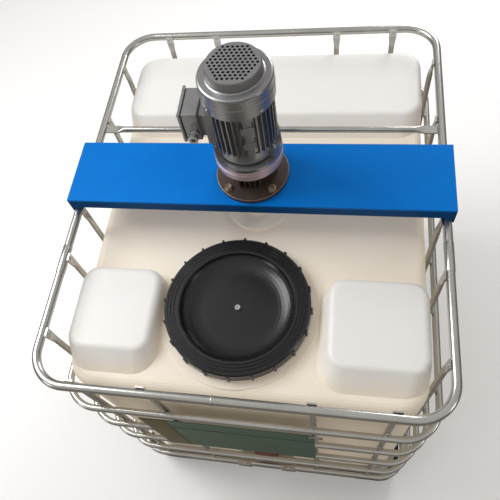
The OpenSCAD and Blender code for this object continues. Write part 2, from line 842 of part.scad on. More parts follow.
module cable_gland() {
    cord_d = 12;
    color(steel) translate([-box_x - 28, -box_s / 2 - touch, box_z + 30]) rotate([90, 0, 0]) difference() {
        union() {
            cylinder(d = 24, h = 8, $fn = 6);
            cylinder(d = 18, h = 24);
            translate([0, 0, 14]) cylinder(d = 24, h = 12);
        }
        translate([0, 0, 4]) cylinder(d = cord_d, h = 30);
    }
}

// Agitator

impeller_z = bottle_z + skin + impeller_h;
shaft_tail = 40;
shaft_entry = 40;
coupling_l = 60;
coupling_drop = 88;
hub_h = 50;
blade = [5, 50];
blade_root = 8;
module agitator_shaft() {
    color(steel) {
        translate([0, 0, impeller_z - shaft_tail])
            cylinder(d = shaft_d, h = bridge_top + shaft_entry - impeller_z + shaft_tail);
        translate([0, 0, bridge_top - coupling_drop]) cylinder(d = coupling_d, h = coupling_l);
    }
}

module impeller() {
    hub_d = shaft_d + 28;
    root = shaft_d / 2 + blade_root;
    color(steel) translate([0, 0, impeller_z]) {
        difference() {
            cylinder(d = hub_d, h = hub_h, center = true);
            cylinder(d = shaft_d + 2 * touch, h = hub_h + 2, center = true);
        }
        for (a = [0 : 90 : 270]) rotate(a) translate([root, 0, 0]) rotate([45, 0, 0])
            translate([0, -blade[0] / 2, -blade[1] / 2]) cube([impeller_d / 2 - root, blade[0], blade[1]]);
    }
}

base_runners();
foot_at(-1, -1);  // foot_front_left
foot_at(1, -1);  // foot_front_right
foot_at(-1, 1);  // foot_back_left
foot_at(1, 1);  // foot_back_right
middle_feet();
base_frame();
base_tray();
hoop(0);  // hoop_1
hoop(1);  // hoop_2
hoop(2);  // hoop_3
hoop(3);  // hoop_4
hoop(4);  // hoop_5
top_rail();
uprights_front();
uprights_back();
uprights_left();
uprights_right();
tie_bar();
cage_hooks();
front_plate();
bottle_floor();
bottle_wall();
bottle_recess();
bottle_top();
lid();
lid_vent();
valve_body();
valve_cap();
valve_handle();
bridge();
reducer_base();
reducer_housing();
motor_front_shield();
motor_frame();
motor_rear_shield();
terminal_box();
terminal_lid();
cable_gland();
fan_cowl();
cooling_fan();
agitator_shaft();
impeller();
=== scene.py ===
# %% [markdown]
# # A caged mixing tank
#
# The object is a milky plastic tank of 1000 litres in a galvanised cage on a steel pallet. A folded
# blue bridge lies across the cage and carries a geared motor, whose shaft turns an impeller in the tank.
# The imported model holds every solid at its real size. This script gives each of them a finish, adds the
# small things that a maker fits last, such as bolts, screws, welds and clips, and sets the light.

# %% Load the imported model
import json
import math

import bmesh
import bpy
from mathutils import Matrix, Vector


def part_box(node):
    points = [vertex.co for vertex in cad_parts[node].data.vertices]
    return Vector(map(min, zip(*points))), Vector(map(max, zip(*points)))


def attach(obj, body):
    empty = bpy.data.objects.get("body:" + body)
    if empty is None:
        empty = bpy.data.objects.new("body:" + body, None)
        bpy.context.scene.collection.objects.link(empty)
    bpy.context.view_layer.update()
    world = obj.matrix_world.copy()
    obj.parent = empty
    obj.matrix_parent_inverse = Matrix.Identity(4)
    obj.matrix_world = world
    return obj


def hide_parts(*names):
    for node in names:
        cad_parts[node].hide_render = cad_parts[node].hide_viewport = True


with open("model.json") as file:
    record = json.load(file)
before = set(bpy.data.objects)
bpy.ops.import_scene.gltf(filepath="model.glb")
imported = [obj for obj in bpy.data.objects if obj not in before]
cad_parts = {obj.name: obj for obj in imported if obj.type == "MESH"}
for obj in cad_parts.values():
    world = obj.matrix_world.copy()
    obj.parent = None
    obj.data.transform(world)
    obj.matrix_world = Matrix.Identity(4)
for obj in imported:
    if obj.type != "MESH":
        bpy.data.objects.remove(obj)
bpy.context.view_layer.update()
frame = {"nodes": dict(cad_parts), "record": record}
nodes = frame["nodes"]

# %% [markdown]
# ## Where things are
#
# Nothing here is typed in twice. The places of the pieces come from the boxes of the solids, so a bolt
# stays on its flange when the model changes.

# %% Places taken from the model
def middle(node):
    low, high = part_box(node)
    return [(a + b) / 2 for a, b in zip(low, high)]


def low(node, axis):
    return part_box(node)[0][axis]


def high(node, axis):
    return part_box(node)[1][axis]


rail_radius = (high("top_rail", 2) - low("top_rail", 2)) / 2
rail_z = middle("top_rail")[2]
rail_x = high("top_rail", 0) - rail_radius
rail_y = high("top_rail", 1) - rail_radius
bridge_top = high("bridge", 2)
print("rail radius", round(rail_radius, 4), "at height", round(rail_z, 3))
print("top of the bridge", round(bridge_top, 3))

# %% [markdown]
# ## Shader groups
#
# Cast metal, plastic and paint are never one flat colour. Two effects return in most of the finishes: a
# soft mottle that wanders between two colours, and a fine grain that roughens the surface. Each is built
# once as a node group with its own inputs, and each material places it with its own values.

# %% A helper that starts a node group
def start_group(name, inputs, outputs):
    group = bpy.data.node_groups.new(name, "ShaderNodeTree")
    for socket_name, kind, value in inputs:
        socket = group.interface.new_socket(name=socket_name, in_out="INPUT", socket_type=kind)
        if value is not None:
            socket.default_value = value
    for socket_name, kind in outputs:
        group.interface.new_socket(name=socket_name, in_out="OUTPUT", socket_type=kind)
    start = group.nodes.new("NodeGroupInput")
    end = group.nodes.new("NodeGroupOutput")
    return group, start, end


# %% The mottle group
FLOAT, COLOR, VECTOR = "NodeSocketFloat", "NodeSocketColor", "NodeSocketVector"
mottle, start, end = start_group(
    "Mottle",
    [("Vector", VECTOR, None), ("Scale", FLOAT, 4.0), ("Contrast", FLOAT, 1.0),
     ("Colour A", COLOR, (0.5, 0.5, 0.5, 1)), ("Colour B", COLOR, (0.6, 0.6, 0.6, 1))],
    [("Color", COLOR), ("Mask", FLOAT)])
noise = mottle.nodes.new("ShaderNodeTexNoise")
noise.inputs["Detail"].default_value = 5
noise.inputs["Roughness"].default_value = 0.62
stretch = mottle.nodes.new("ShaderNodeMath")
stretch.operation = "MULTIPLY_ADD"
centre = mottle.nodes.new("ShaderNodeMath")
centre.operation = "MULTIPLY_ADD"
centre.inputs[1].default_value = -0.5
centre.inputs[2].default_value = 0.5
mix = mottle.nodes.new("ShaderNodeMix")
mix.data_type = "RGBA"
mix.clamp_factor = True
link = mottle.links.new
link(start.outputs["Vector"], noise.inputs["Vector"])
link(start.outputs["Scale"], noise.inputs["Scale"])
link(noise.outputs["Fac"], stretch.inputs[0])
link(start.outputs["Contrast"], stretch.inputs[1])
link(start.outputs["Contrast"], centre.inputs[0])
link(centre.outputs[0], stretch.inputs[2])
link(stretch.outputs[0], mix.inputs["Factor"])
link(start.outputs["Colour A"], mix.inputs["A"])
link(start.outputs["Colour B"], mix.inputs["B"])
link(mix.outputs["Result"], end.inputs["Color"])
link(stretch.outputs[0], end.inputs["Mask"])
print("group:", mottle.name, "with", len(mottle.nodes), "nodes")

# %% The grain group
grain, start, end = start_group(
    "Grain",
    [("Vector", VECTOR, None), ("Scale", FLOAT, 300.0), ("Low", FLOAT, 0.4), ("High", FLOAT, 0.5)],
    [("Roughness", FLOAT), ("Height", FLOAT)])
noise = grain.nodes.new("ShaderNodeTexNoise")
noise.inputs["Detail"].default_value = 3
remap = grain.nodes.new("ShaderNodeMapRange")
link = grain.links.new
link(start.outputs["Vector"], noise.inputs["Vector"])
link(start.outputs["Scale"], noise.inputs["Scale"])
link(noise.outputs["Fac"], remap.inputs["Value"])
link(start.outputs["Low"], remap.inputs["To Min"])
link(start.outputs["High"], remap.inputs["To Max"])
link(remap.outputs["Result"], end.inputs["Roughness"])
link(noise.outputs["Fac"], end.inputs["Height"])
print("group:", grain.name, "with", len(grain.nodes), "nodes")

# %% [markdown]
# ## Finishes
#
# Every finish is a Principled shader whose colour comes from the mottle group and whose roughness and
# bump come from the grain group. A small function makes the common part, so that a finish is stated by
# its own values: two colours, the range of roughness, the size of the grain and how deep it is.

# %% The common part of a finish
def finish(name, dark, light, mottle_scale, contrast, rough, grain_scale, bump, metallic=0.0):
    mat = bpy.data.materials.new(name)
    mat.use_nodes = True
    tree = mat.node_tree
    shader = tree.nodes["Principled BSDF"]
    shader.inputs["Metallic"].default_value = metallic
    place = tree.nodes.new("ShaderNodeTexCoord")
    spots = tree.nodes.new("ShaderNodeGroup")
    spots.node_tree = mottle
    spots.name = "Mottle"
    spots.inputs["Scale"].default_value = mottle_scale
    spots.inputs["Contrast"].default_value = contrast
    spots.inputs["Colour A"].default_value = (*dark, 1)
    spots.inputs["Colour B"].default_value = (*light, 1)
    fine = tree.nodes.new("ShaderNodeGroup")
    fine.node_tree = grain
    fine.name = "Grain"
    fine.inputs["Scale"].default_value = grain_scale
    fine.inputs["Low"].default_value = rough[0]
    fine.inputs["High"].default_value = rough[1]
    relief = tree.nodes.new("ShaderNodeBump")
    relief.name = "Relief"
    relief.inputs["Strength"].default_value = 1.0
    relief.inputs["Distance"].default_value = bump
    for group in (spots, fine):
        tree.links.new(place.outputs["Object"], group.inputs["Vector"])
    tree.links.new(spots.outputs["Color"], shader.inputs["Base Color"])
    tree.links.new(fine.outputs["Roughness"], shader.inputs["Roughness"])
    tree.links.new(fine.outputs["Height"], relief.inputs["Height"])
    tree.links.new(relief.outputs["Normal"], shader.inputs["Normal"])
    return mat


def shader_of(mat):
    return mat.node_tree.nodes["Principled BSDF"]


# %% Metals
# Painted shade: a shade colour low down and white high up, mixed over a span of height and multiplied into
# the finish
def paint_shade_by_height(mat, shade_colour, z_low, z_high):
    tree = mat.node_tree
    shader = tree.nodes["Principled BSDF"]
    place = tree.nodes.new("ShaderNodeTexCoord")
    parts = tree.nodes.new("ShaderNodeSeparateXYZ")
    span = tree.nodes.new("ShaderNodeMapRange")
    span.interpolation_type = "SMOOTHSTEP"
    span.inputs["From Min"].default_value = z_low
    span.inputs["From Max"].default_value = z_high
    tint = tree.nodes.new("ShaderNodeMix")
    tint.data_type = "RGBA"
    tint.inputs["A"].default_value = (*shade_colour, 1)
    tint.inputs["B"].default_value = (1, 1, 1, 1)
    both = tree.nodes.new("ShaderNodeMix")
    both.data_type = "RGBA"
    both.blend_type = "MULTIPLY"
    both.inputs["Factor"].default_value = 1.0
    tree.links.new(place.outputs["Object"], parts.inputs["Vector"])
    tree.links.new(parts.outputs["Z"], span.inputs["Value"])
    tree.links.new(span.outputs["Result"], tint.inputs["Factor"])
    tree.links.new(tree.nodes["Mottle"].outputs["Color"], both.inputs["A"])
    tree.links.new(tint.outputs["Result"], both.inputs["B"])
    tree.links.new(both.outputs["Result"], shader.inputs["Base Color"])


galvanised = finish("galvanised steel", (0.44, 0.435, 0.41), (0.60, 0.595, 0.565), 14, 1.3,
                    (0.2, 0.3), 60, 0.00005, metallic=0.95)
bright_steel = finish("bright steel", (0.55, 0.55, 0.55), (0.68, 0.68, 0.68), 30, 1.2,
                      (0.2, 0.3), 400, 0.00005, metallic=1.0)
tan_bolt = finish("yellow plated bolts", (0.36, 0.25, 0.17), (0.56, 0.42, 0.31), 90, 1.4,
                  (0.3, 0.42), 700, 0.00005, metallic=0.9)
motor_grey = finish("motor castings", (0.25, 0.25, 0.255), (0.37, 0.365, 0.37), 9, 1.5,
                    (0.28, 0.4), 260, 0.00012, metallic=0.8)
reducer_alloy = finish("reducer ring", (0.46, 0.35, 0.37), (0.62, 0.49, 0.51), 12, 1.4,
                       (0.36, 0.48), 220, 0.0001, metallic=0.45)
dark_casting = finish("reducer foot", (0.07, 0.05, 0.043), (0.13, 0.098, 0.082), 14, 1.6,
                      (0.34, 0.48), 240, 0.0002, metallic=0.6)
print("metals made")

# %% Paints and plastics
milky = finish("milky polyethylene", (0.85, 0.83, 0.78), (0.90, 0.88, 0.84), 2.2, 1.1,
               (0.36, 0.46), 160, 0.00015)
# painted shade: the top is tinted warm beige low down and fades to plain white at the tops of the blocks
paint_shade_by_height(milky, (0.98, 0.89, 0.765), 1.035, 1.099)
# painted glow: emission on the low parts of the top stands in for light that comes through the thin walls
painted_glow = milky.node_tree.nodes.new("ShaderNodeMapRange")
painted_glow.inputs["From Min"].default_value = 1.035
painted_glow.inputs["From Max"].default_value = 1.099
painted_glow.inputs["To Min"].default_value = 0.1
painted_glow.inputs["To Max"].default_value = 0.0
height = milky.node_tree.nodes["Separate XYZ"]
milky.node_tree.links.new(height.outputs["Z"], painted_glow.inputs["Value"])
milky.node_tree.links.new(painted_glow.outputs["Result"], shader_of(milky).inputs["Emission Strength"])
shader_of(milky).inputs["Emission Color"].default_value = (1.0, 0.82, 0.62, 1)
shader_of(milky).inputs["Subsurface Weight"].default_value = 0.25
shader_of(milky).inputs["Subsurface Radius"].default_value = (0.03, 0.022, 0.014)
shader_of(milky).inputs["Subsurface Scale"].default_value = 1.0
blue = finish("blue paint", (0.0005, 0.14, 0.52), (0.001, 0.19, 0.66), 2.4, 1.8,
              (0.42, 0.52), 300, 0.00006)
shader_of(blue).inputs["Specular IOR Level"].default_value = 0.06
# painted shade: the flanges below the fold of the bridge are darkened to a brownish grey
paint_shade_by_height(blue, (0.4, 0.34, 0.33), bridge_top - 0.009, bridge_top - 0.002)
green = finish("green plate paint", (0.016, 0.075, 0.045), (0.03, 0.12, 0.075), 6, 1.5,
               (0.28, 0.38), 200, 0.0001)
shader_of(green).inputs["Specular IOR Level"].default_value = 0.4
olive = finish("olive label", (0.10, 0.085, 0.03), (0.16, 0.135, 0.05), 20, 1.5,
               (0.4, 0.5), 200, 0.00005)
lid_black = finish("lid plastic", (0.006, 0.006, 0.0065), (0.011, 0.011, 0.012), 6, 1.5,
                   (0.2, 0.32), 350, 0.00008)
foot_black = finish("foot plastic", (0.012, 0.012, 0.013), (0.03, 0.03, 0.03), 8, 1.5,
                    (0.5, 0.65), 300, 0.0003)
cap_red = finish("cap plastic", (0.16, 0.035, 0.02), (0.26, 0.06, 0.035), 10, 1.5,
                 (0.4, 0.5), 300, 0.0002)
valve_grey = finish("valve plastic", (0.03, 0.03, 0.032), (0.06, 0.06, 0.062), 10, 1.5,
                    (0.45, 0.55), 300, 0.0002)
print("paints and plastics made")

# %% [markdown]
# Each solid gets the finish of what it is made of. The tubes of the cage and the rails of the pallet are
# all hot dip galvanised, so they share one.

# %% Give each solid its finish
worn_by = {
    galvanised: ["base_runners", "middle_feet", "base_frame", "base_tray", "hoop_1", "hoop_2", "hoop_3",
                 "hoop_4", "hoop_5", "top_rail", "uprights_front", "uprights_back", "uprights_left",
                 "uprights_right", "tie_bar", "cage_hooks"],
    foot_black: ["foot_front_left", "foot_front_right", "foot_back_left", "foot_back_right", "cooling_fan"],
    milky: ["bottle_floor", "bottle_wall", "bottle_recess", "bottle_top"],
    green: ["front_plate"],
    lid_black: ["lid"],
    bright_steel: ["lid_vent", "cable_gland", "agitator_shaft", "impeller"],
    valve_grey: ["valve_body", "valve_handle"],
    cap_red: ["valve_cap"],
    blue: ["bridge"],
    dark_casting: ["reducer_base"],
    reducer_alloy: ["reducer_housing"],
    motor_grey: ["motor_front_shield", "motor_frame", "motor_rear_shield", "terminal_box", "terminal_lid",
                 "fan_cowl"],
}
for mat, names in worn_by.items():
    for name in names:
        mesh = nodes[name].data
        mesh.materials.clear()
        mesh.materials.append(mat)
bare = sorted(set(nodes) - {name for names in worn_by.values() for name in names})
print("solids with no finish:", bare)

# %% [markdown]
# ## Helpers for the added pieces
#
# Each added piece begins as a primitive, is shaped in edit mode, and ends with its place in its mesh, so
# that its object stands unturned at the origin like the solids do. Faces are picked in code by where they
# are or which way they look, because nothing is clicked here.

# %% Helpers: select, edit, settle
def select_only(*objects):
    bpy.ops.object.select_all(action="DESELECT")
    for obj in objects:
        obj.select_set(True)
    bpy.context.view_layer.objects.active = objects[0]


def start_edit(piece):
    select_only(piece)
    bpy.ops.object.mode_set(mode="EDIT")
    bpy.ops.mesh.select_mode(type="FACE")
    bpy.ops.mesh.select_all(action="DESELECT")
    return bmesh.from_edit_mesh(piece.data)


def pick_faces(mesh_in_edit, test):
    for face in mesh_in_edit.faces:
        face.select_set(test(face))


def end_edit():
    bpy.ops.object.mode_set(mode="OBJECT")


def apply_modifier(piece, kind, **values):
    modifier = piece.modifiers.new(kind.lower(), kind)
    for name, value in values.items():
        setattr(modifier, name, value)
    select_only(piece)
    bpy.ops.object.modifier_apply(modifier=modifier.name)


def settle(piece, name, body, mat, smooth=35):
    piece.name = name
    select_only(piece)
    bpy.ops.object.transform_apply(location=True, rotation=True, scale=True)
    piece.data.materials.clear()
    piece.data.materials.append(mat)
    bpy.ops.object.shade_smooth_by_angle(angle=math.radians(smooth))
    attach(piece, body)
    return piece


# %% Helper: one piece laid out many times
def lay_out(pattern, places):
    """Copy the pattern's mesh to each place, join the copies and drop the pattern."""
    copies = []
    for place in places:
        copy = bpy.data.objects.new(pattern.name, pattern.data.copy())
        bpy.context.collection.objects.link(copy)
        copy.data.transform(pattern.matrix_world)
        copy.data.transform(place)
        copies.append(copy)
    bpy.data.objects.remove(pattern)
    select_only(*copies)
    if len(copies) > 1:
        bpy.ops.object.join()
    return copies[0]


def turned(degrees, axis="Z"):
    return Matrix.Rotation(math.radians(degrees), 4, axis)


def moved(x, y, z):
    return Matrix.Translation((x, y, z))


# %% [markdown]
# ## Rounded edges on the solids
#
# Nothing made by folding, casting or moulding has a knife edge, and the thin bright line along each edge
# is what makes a picture of it look real. The solids have sharp edges. A copy of each is merged, its
# flat faces are freed of their triangles, and a bevel modifier rolls its edges over. The copy then
# stands for the solid, which stays underneath for the physics.

# %% A copy of a solid with its edges rolled over
def rolled_copy(node, width, segments=2, angle=30):
    piece = bpy.data.objects.new(node + "_rolled", nodes[node].data.copy())
    bpy.context.collection.objects.link(piece)
    select_only(piece)
    bpy.ops.object.mode_set(mode="EDIT")
    bpy.ops.mesh.select_all(action="SELECT")
    bpy.ops.mesh.remove_doubles(threshold=0.00001)
    bpy.ops.mesh.dissolve_limited(angle_limit=math.radians(1))
    bpy.ops.object.mode_set(mode="OBJECT")
    apply_modifier(piece, "BEVEL", width=width, segments=segments, limit_method="ANGLE",
                   angle_limit=math.radians(angle), use_clamp_overlap=True)
    bpy.ops.object.shade_smooth_by_angle(angle=math.radians(50))
    apply_modifier(piece, "WEIGHTED_NORMAL", keep_sharp=True)
    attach(piece, body_of[node])
    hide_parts(node)
    return piece


body_of = {node: body for body, names in frame["record"]["behaviour"]["bodies"].items() for node in names}
edge_radius = {
    "bridge": 0.0025, "terminal_box": 0.003, "terminal_lid": 0.002, "reducer_base": 0.0012,
    "motor_front_shield": 0.0012, "motor_rear_shield": 0.001, "front_plate": 0.0005, "cage_hooks": 0.0008,
    "base_runners": 0.004, "middle_feet": 0.005, "base_frame": 0.003,
    "foot_front_left": 0.005, "foot_front_right": 0.005, "foot_back_left": 0.005, "foot_back_right": 0.005,
    "valve_body": 0.001, "valve_cap": 0.0015, "valve_handle": 0.002,
}
for node, width in edge_radius.items():
    piece = rolled_copy(node, width)
    print(f"{node}: edge {width * 1000:.1f} mm, {len(piece.data.polygons)} faces")

# %% [markdown]
# ## Bolts on the flange
#
# Four hexagon bolts with washers hold the reducer's foot to the bridge. A head starts as a six-sided
# cylinder. Its top face is inset and raised a little, which gives the round chamfer that a turned head
# has. One is made, and four copies stand at 45 degrees on the bolt circle.

# %% One hexagon head with its washer
def hex_head(across, height, washer_radius, washer_height):
    bpy.ops.object.select_all(action="DESELECT")
    bpy.ops.mesh.primitive_cylinder_add(vertices=24, radius=washer_radius, depth=washer_height,
                                        location=(0, 0, washer_height / 2))
    washer = bpy.context.object
    apply_modifier(washer, "BEVEL", width=washer_height * 0.25, segments=1, limit_method="ANGLE")
    bpy.ops.object.select_all(action="DESELECT")
    bpy.ops.mesh.primitive_cylinder_add(vertices=6, radius=across / math.sqrt(3), depth=height,
                                        location=(0, 0, washer_height + height / 2))
    head = bpy.context.object
    mesh = start_edit(head)
    pick_faces(mesh, lambda face: face.normal.z > 0.9)
    bpy.ops.mesh.inset(thickness=across * 0.06)
    bpy.ops.transform.translate(value=(0, 0, height * 0.12))
    bpy.ops.mesh.inset(thickness=across * 0.12)
    bpy.ops.transform.translate(value=(0, 0, -height * 0.06))
    end_edit()
    select_only(head, washer)
    bpy.ops.object.transform_apply(location=True, rotation=False, scale=False)
    bpy.ops.object.join()
    return head


bolt_circle = 0.08
flange_top = bridge_top + 0.012
corners = [45, 135, 225, 315]
bolts = lay_out(hex_head(0.017, 0.0065, 0.0105, 0.002),
                [turned(a) @ moved(bolt_circle, 0, flange_top) @ turned(20) for a in corners])
settle(bolts, "flange_bolts", "tank", tan_bolt)
nuts = lay_out(hex_head(0.017, 0.008, 0.0105, 0.002),
               [turned(a) @ moved(bolt_circle, 0, bridge_top - 0.004) @ turned(180, "X") for a in corners])
settle(nuts, "flange_nuts", "tank", tan_bolt)
print("bolts:", len(bolts.data.polygons), "faces")


# %% [markdown]
# ## Bolts on the motor
#
# The shield is held to the ring by a small cap screw on each of its four lugs, and the fan cowl by four
# pan head screws through its lower rim. A pan head is a cylinder whose upper edge is rolled over, with a
# cross cut into its top by taking two boxes away from it.

# %% Cap screws on the shield's lugs
def cap_screw(radius, height, socket):
    bpy.ops.object.select_all(action="DESELECT")
    bpy.ops.mesh.primitive_cylinder_add(vertices=24, radius=radius, depth=height,
                                        location=(0, 0, height / 2))
    screw = bpy.context.object
    mesh = start_edit(screw)
    pick_faces(mesh, lambda face: face.normal.z > 0.9)
    bpy.ops.mesh.inset(thickness=radius - socket)
    bpy.ops.mesh.extrude_region_move(TRANSFORM_OT_translate={"value": (0, 0, -height * 0.6)})
    end_edit()
    select_only(screw)
    bpy.ops.object.transform_apply(location=True, rotation=False, scale=False)
    apply_modifier(screw, "BEVEL", width=radius * 0.1, segments=1, limit_method="ANGLE")
    return screw


lug_top = low("motor_front_shield", 2) + 0.038
lug_turns = [23, 157, 203, 337]
lug_radius = 0.0765
screws = lay_out(cap_screw(0.005, 0.006, 0.0028),
                 [turned(a) @ moved(lug_radius, 0, lug_top) for a in lug_turns])
settle(screws, "lug_screws", "tank", bright_steel)
print("lug screws at", round(lug_top, 3), "m")


# %% Pan head screws
def pan_screw(radius, height):
    bpy.ops.object.select_all(action="DESELECT")
    bpy.ops.mesh.primitive_cylinder_add(vertices=16, radius=radius, depth=height, end_fill_type="NGON",
                                        location=(0, 0, height / 2))
    screw = bpy.context.object
    select_only(screw)
    bpy.ops.object.transform_apply(location=True, rotation=False, scale=False)
    apply_modifier(screw, "BEVEL", width=height * 0.45, segments=3, limit_method="ANGLE")
    for turn in (0, 90):
        bpy.ops.object.select_all(action="DESELECT")
        bpy.ops.mesh.primitive_cube_add(size=1, location=(0, 0, height))
        slot = bpy.context.object
        slot.scale = (radius * 1.1, radius * 0.26, height * 0.7)
        slot.rotation_euler = (0, 0, math.radians(turn))
        apply_modifier(screw, "BOOLEAN", operation="DIFFERENCE", object=slot, solver="EXACT")
        bpy.data.objects.remove(slot)
    return screw


outward = turned(90, "Y")
cowl_radius = (high("fan_cowl", 0) - low("fan_cowl", 0)) / 2 - 0.0008
cowl_screws = lay_out(pan_screw(0.0042, 0.003),
                      [turned(a) @ moved(cowl_radius, 0, low("fan_cowl", 2) + 0.009) @ outward
                       for a in (45, 135, 225, 315)])
settle(cowl_screws, "cowl_screws", "tank", bright_steel)
lid_low, lid_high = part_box("terminal_lid")
corner = 0.008
box_screws = lay_out(pan_screw(0.004, 0.0026),
                     [moved(lid_low[0], y, z) @ turned(-90, "Y")
                      for y in (lid_low[1] + corner, lid_high[1] - corner)
                      for z in (lid_low[2] + corner, lid_high[2] - corner)])
settle(box_screws, "terminal_screws", "tank", bright_steel)

# %% [markdown]
# ## Threads on the gland and a blind plug
#
# The gland's neck carries a cut thread between its two hexagons, made here as three raised rings, and
# the spare entry under it is closed by a small hexagon plug.

# %% Gland thread and blind plug
gland_low, gland_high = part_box("cable_gland")
gland_x = (gland_low[0] + gland_high[0]) / 2
gland_z = (gland_low[2] + gland_high[2]) / 2
forward = turned(90, "X")
bpy.ops.object.select_all(action="DESELECT")
bpy.ops.mesh.primitive_cylinder_add(vertices=24, radius=0.0098, depth=0.0011)
ring = bpy.context.object
apply_modifier(ring, "BEVEL", width=0.0004, segments=1, limit_method="ANGLE")
threads = lay_out(ring, [moved(gland_x, gland_high[1] - depth, gland_z) @ forward
                         for depth in (0.0092, 0.0110, 0.0128)])
settle(threads, "gland_thread", "tank", bright_steel)
plug = lay_out(hex_head(0.011, 0.003, 0.0072, 0.001),
               [moved(gland_x, gland_high[1], gland_z - 0.0205) @ forward])
settle(plug, "blind_plug", "tank", bright_steel)

# %% [markdown]
# ## Hook screws
#
# Each of the eight hooks that tie the cage to the pallet is locked by one cross recessed screw. It stands
# on the hook's upper lip, where it stays inside the outline of the cage.

# %% Screws on the hooks' lips
reach_x = high("hoop_1", 0)
reach_y = high("hoop_1", 1)
lip_top = high("cage_hooks", 2)
lip_middle = 0.0045
spread_side = 0.33
spread_front = 0.082
hook_places = []
for turn, reach, spread in ((0, reach_x, spread_side), (90, reach_y, spread_front),
                            (180, reach_x, spread_side), (270, reach_y, spread_front)):
    for side in (-spread, spread):
        hook_places.append(turned(turn) @ moved(reach - lip_middle, side, lip_top))
hook_screws = lay_out(pan_screw(0.0065, 0.003), hook_places)
settle(hook_screws, "hook_screws", "tank", bright_steel)
print("hook screws:", len(hook_places))

# %% [markdown]
# ## Welds
#
# The uprights are spot welded to the hoops where they cross. Under the zinc each weld is a small squeezed
# bead, wider than it is thick. The beads are sphere primitives pressed flat, with a dozen rings at most,
# because there are a hundred of them. The top rail is closed by one weld at the front, and it was joined
# from lengths of tube with a short sleeve on each side.

# %% Weld beads where the uprights cross the hoops
hoop_levels = [middle(f"hoop_{i}")[2] for i in range(1, 6)]
front_x = [-0.385, -0.207, 0.187, 0.368]
back_x = [-0.350, -0.190, 0.195, 0.365]
side_y = [-0.462, -0.250, -0.100, 0.095, 0.225, 0.440]
hoop_thick = high("hoop_1", 2) - low("hoop_1", 2)
cross_x = reach_x - hoop_thick
cross_y = reach_y - hoop_thick
bpy.ops.object.select_all(action="DESELECT")
bpy.ops.mesh.primitive_uv_sphere_add(segments=12, ring_count=6, radius=0.006)
bead = bpy.context.object
bead.scale = (0.55, 1.3, 0.8)
select_only(bead)
bpy.ops.object.transform_apply(location=False, rotation=False, scale=True)
spots = []
for z in hoop_levels:
    spots += [moved(x, -cross_y, z) @ turned(90) for x in front_x]
    spots += [moved(x, cross_y, z) @ turned(90) for x in back_x]
    spots += [moved(s * cross_x, y, z) for y in side_y for s in (-1, 1)]
beads = lay_out(bead, spots)
settle(beads, "weld_beads", "tank", galvanised, smooth=60)
print("weld beads:", len(spots), "with", len(beads.data.polygons), "faces")


# %% Seam and sleeves on the top rail
def ring_on_tube(radius, length, middle_out):
    """A short tube along X whose middle is a little thicker than its ends."""
    bpy.ops.object.select_all(action="DESELECT")
    bpy.ops.mesh.primitive_cylinder_add(vertices=32, radius=radius, depth=length, end_fill_type="NGON",
                                        rotation=(0, math.radians(90), 0))
    ring = bpy.context.object
    select_only(ring)
    bpy.ops.object.transform_apply(location=False, rotation=True, scale=False)
    apply_modifier(ring, "BEVEL", width=middle_out, segments=2, limit_method="ANGLE")
    return ring


rail_front_y = low("top_rail", 1) + rail_radius
rail_side_x = high("top_rail", 0) - rail_radius
seam = lay_out(ring_on_tube(rail_radius + 0.0008, 0.006, 0.0007),
               [moved(-0.034, rail_front_y, rail_z), moved(0.060, -rail_front_y, rail_z)])
settle(seam, "rail_seam", "tank", galvanised, smooth=60)
sleeve = ring_on_tube(rail_radius + 0.0011, 0.08, 0.001)
sleeves = lay_out(sleeve, [moved(-rail_side_x, -0.255, rail_z) @ turned(90),
                           moved(rail_side_x, -0.198, rail_z) @ turned(90)])
settle(sleeves, "rail_sleeves", "tank", galvanised, smooth=60)

# %% [markdown]
# ## Rivets at the top of the uprights
#
# The flattened end of each upright is held to the top rail by a pressed rivet, which shows as a small
# round head on the inside of the cage.

# %% Rivets
def rivet():
    bpy.ops.object.select_all(action="DESELECT")
    bpy.ops.mesh.primitive_uv_sphere_add(segments=12, ring_count=8, radius=0.0045)
    head = bpy.context.object
    head.scale = (0.5, 1, 1)
    select_only(head)
    bpy.ops.object.transform_apply(location=False, rotation=False, scale=True)
    return head


rivet_z = rail_z - 0.002
flat_x = rail_side_x - rail_radius - 0.0043
flat_y = -rail_front_y - rail_radius - 0.0043
heads = [moved(x, -flat_y, rivet_z) @ turned(90) for x in front_x]
heads += [moved(x, flat_y, rivet_z) @ turned(90) for x in back_x]
heads += [moved(s * flat_x, y, rivet_z) for y in side_y for s in (-1, 1)]
rivets = lay_out(rivet(), heads)
settle(rivets, "upright_rivets", "tank", galvanised, smooth=60)
print("rivets:", len(heads))

# %% [markdown]
# ## Clips on the green plate
#
# The plate is pinched to the hoops by a bright clip at its right edge, and an olive tab closes its left
# edge. Each is a cube whose edges are bevelled.

# %% Plate clip and tab
def soft_block(size, place, width):
    bpy.ops.object.select_all(action="DESELECT")
    bpy.ops.mesh.primitive_cube_add(size=1, location=place)
    block = bpy.context.object
    block.scale = size
    select_only(block)
    bpy.ops.object.transform_apply(location=True, rotation=False, scale=True)
    apply_modifier(block, "BEVEL", width=width, segments=2, limit_method="ANGLE")
    return block


plate_low, plate_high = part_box("front_plate")
bead_front = plate_low[1]
clip_y = bead_front + 0.00215
clip_z = plate_high[2] - 0.028
clip = soft_block((0.036, 0.0017, 0.03), (plate_high[0] + 0.005, clip_y, clip_z), 0.0005)
settle(clip, "plate_clip", "tank", galvanised)
clip_screw = lay_out(pan_screw(0.0048, 0.0012),
                     [moved(plate_high[0] + 0.009, clip_y - 0.00085, clip_z) @ forward])
settle(clip_screw, "clip_screw", "tank", bright_steel)
label_w = 0.07
label_h = plate_high[2] - plate_low[2] - 0.01
label = soft_block((label_w, 0.0014, label_h),
                   (plate_low[0] + label_w / 2, bead_front + 0.0008, middle("front_plate")[2]), 0.0003)
settle(label, "plate_label", "tank", olive)
print("label", round(label_h, 3), "m high")

